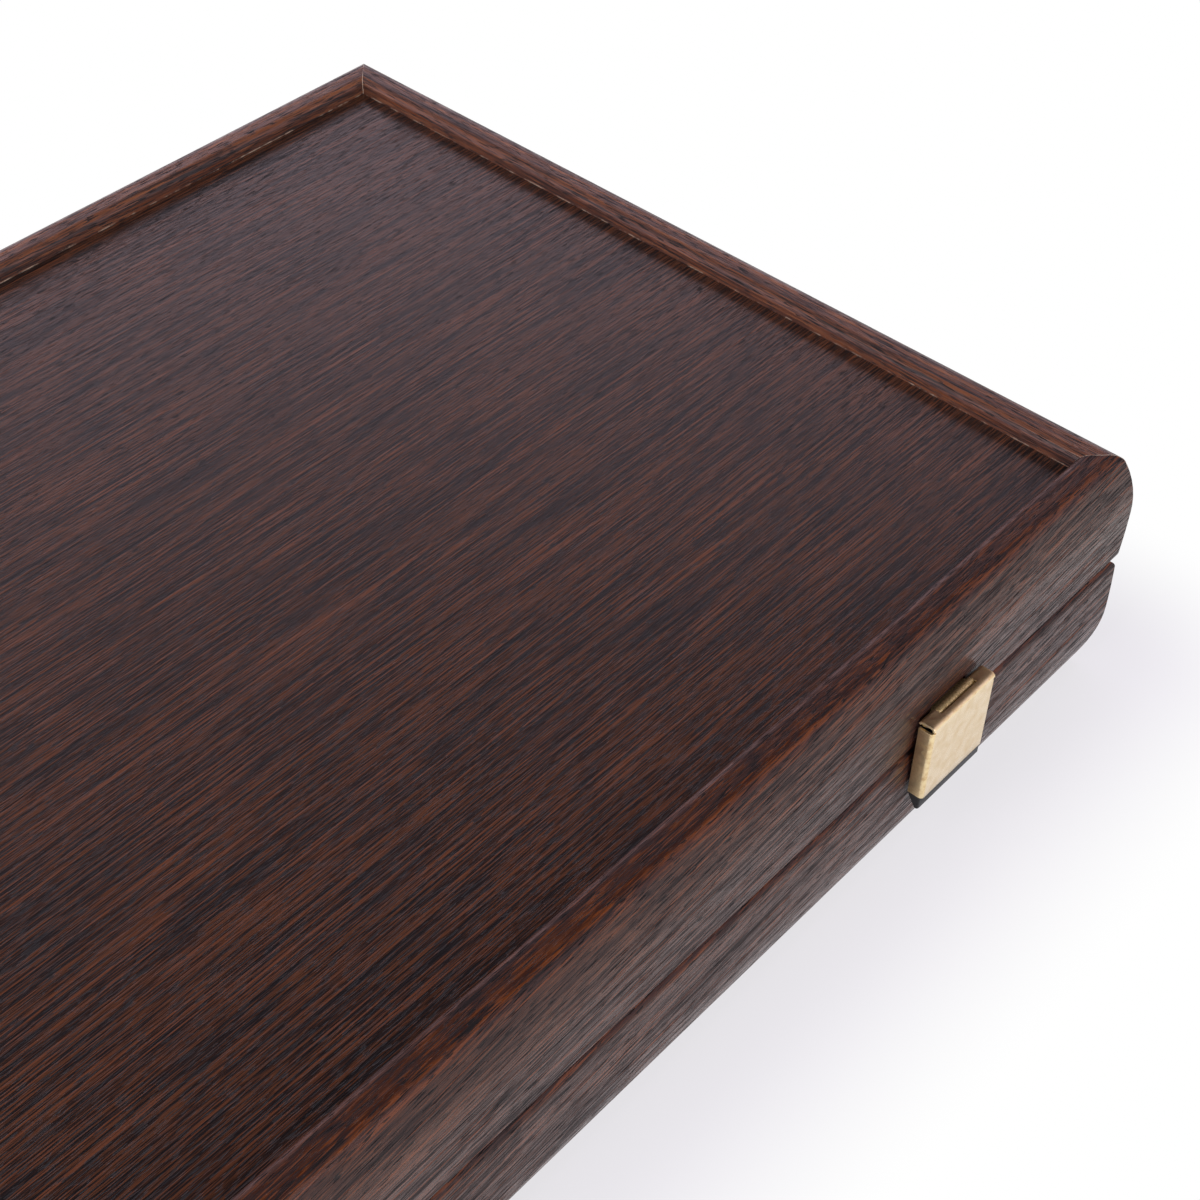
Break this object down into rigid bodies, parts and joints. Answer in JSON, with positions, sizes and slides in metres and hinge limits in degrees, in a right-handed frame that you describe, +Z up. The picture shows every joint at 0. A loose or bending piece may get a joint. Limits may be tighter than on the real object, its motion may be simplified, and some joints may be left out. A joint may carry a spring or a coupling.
{
  "type": "folding backgammon board",
  "caption": "Folding wooden backgammon case with two hinged trays, inlaid points, checker racks and flap latches, shown closed.",
  "frame": {"origin": "bottom centre of the closed case, under the middle of its bounding box", "axes": "+X along the long side, -Y out of the latch side, +Z up"},
  "size_m": [0.48, 0.3082, 0.077],
  "materials": {
    "rail_wood": "satin",
    "panel_veneer": "satin",
    "field_veneer": "satin",
    "light_points": "satin",
    "dark_points": "satin",
    "brass": "satin",
    "brass_screws": "satin",
    "steel_plate": "brushed",
    "magnet": "polished",
    "black_plastic": "matte"
  },
  "bodies": {
    "base": {"base_back_rail": "rail_wood", "base_dark_points": "dark_points", "base_divider": "rail_wood", "base_field": "field_veneer", "base_front_rail": "rail_wood", "base_left_rail": "rail_wood", "base_light_points": "light_points", "base_panel": "panel_veneer", "base_rack_floor": "field_veneer", "base_right_rail": "rail_wood", "hinge_base_screws": "brass_screws", "hinge_left_base_leaf": "brass", "hinge_left_pin": "brass", "hinge_right_base_leaf": "brass", "hinge_right_pin": "brass", "latch_left_strike": "steel_plate", "latch_right_strike": "steel_plate", "latch_strike_screws": "brass_screws"},
    "lid": {"hinge_left_lid_leaf": "brass", "hinge_lid_screws": "brass_screws", "hinge_right_lid_leaf": "brass", "latch_left_pin": "brass", "latch_left_plate": "brass", "latch_plate_screws": "brass_screws", "latch_right_pin": "brass", "latch_right_plate": "brass", "lid_back_rail": "rail_wood", "lid_dark_points": "dark_points", "lid_divider": "rail_wood", "lid_field": "field_veneer", "lid_front_rail": "rail_wood", "lid_left_rail": "rail_wood", "lid_light_points": "light_points", "lid_panel": "panel_veneer", "lid_rack_floor": "field_veneer", "lid_right_rail": "rail_wood"},
    "latch_left": {"latch_left_catch_block": "black_plastic", "latch_left_flap": "brass", "latch_left_magnet": "magnet"},
    "latch_right": {"latch_right_catch_block": "black_plastic", "latch_right_flap": "brass", "latch_right_magnet": "magnet"}
  },
  "joints": [
    {"name": "lid_hinge", "type": "hinge", "parent": "base", "child": "lid", "pos_m": [0, 0.1515, 0.0385], "axis": [-1, 0, 0], "range_deg": [0, 180]},
    {"name": "latch_left_flap", "type": "hinge", "parent": "lid", "child": "latch_left", "pos_m": [-0.157, -0.1505, 0.0504], "axis": [-1, 0, 0], "range_deg": [0, 100]},
    {"name": "latch_right_flap", "type": "hinge", "parent": "lid", "child": "latch_right", "pos_m": [0.157, -0.1505, 0.0504], "axis": [-1, 0, 0], "range_deg": [0, 100]}
  ]
}
